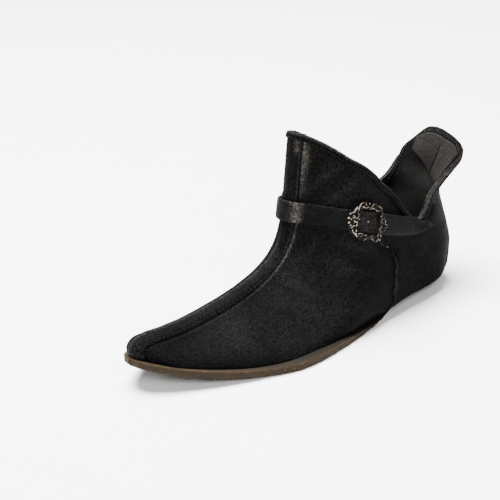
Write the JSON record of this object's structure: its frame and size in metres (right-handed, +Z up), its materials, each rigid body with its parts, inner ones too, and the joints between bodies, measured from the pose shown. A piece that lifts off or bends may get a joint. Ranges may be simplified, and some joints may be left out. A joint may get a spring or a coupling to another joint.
{
  "type": "viking shoe",
  "caption": "Low leather ankle shoe for the left foot with pointed upturned toe, tall front flap, flared heel tab, instep strap and round ornate buckle",
  "frame": {"origin": "middle of the shoe's box, on the floor", "axes": "X to the toe, Y to the outer side of the foot, Z up from the floor"},
  "size_m": [0.2798, 0.094, 0.1345],
  "materials": {
    "sole_leather": "rough brown sole leather, raw edge",
    "lining_leather": "matt dark lining",
    "black_leather": "waxed black leather, fine grain, worn edges",
    "antique_metal": "dark antique casting with bright worn high spots"
  },
  "bodies": {
    "root": {"outsole": "sole_leather", "insole": "lining_leather", "upper": "black_leather", "front_strip": "black_leather", "heel_quarter": "black_leather", "strap": "black_leather", "buckle_frame": "antique_metal", "buckle_prong": "antique_metal"}
  },
  "joints": []
}
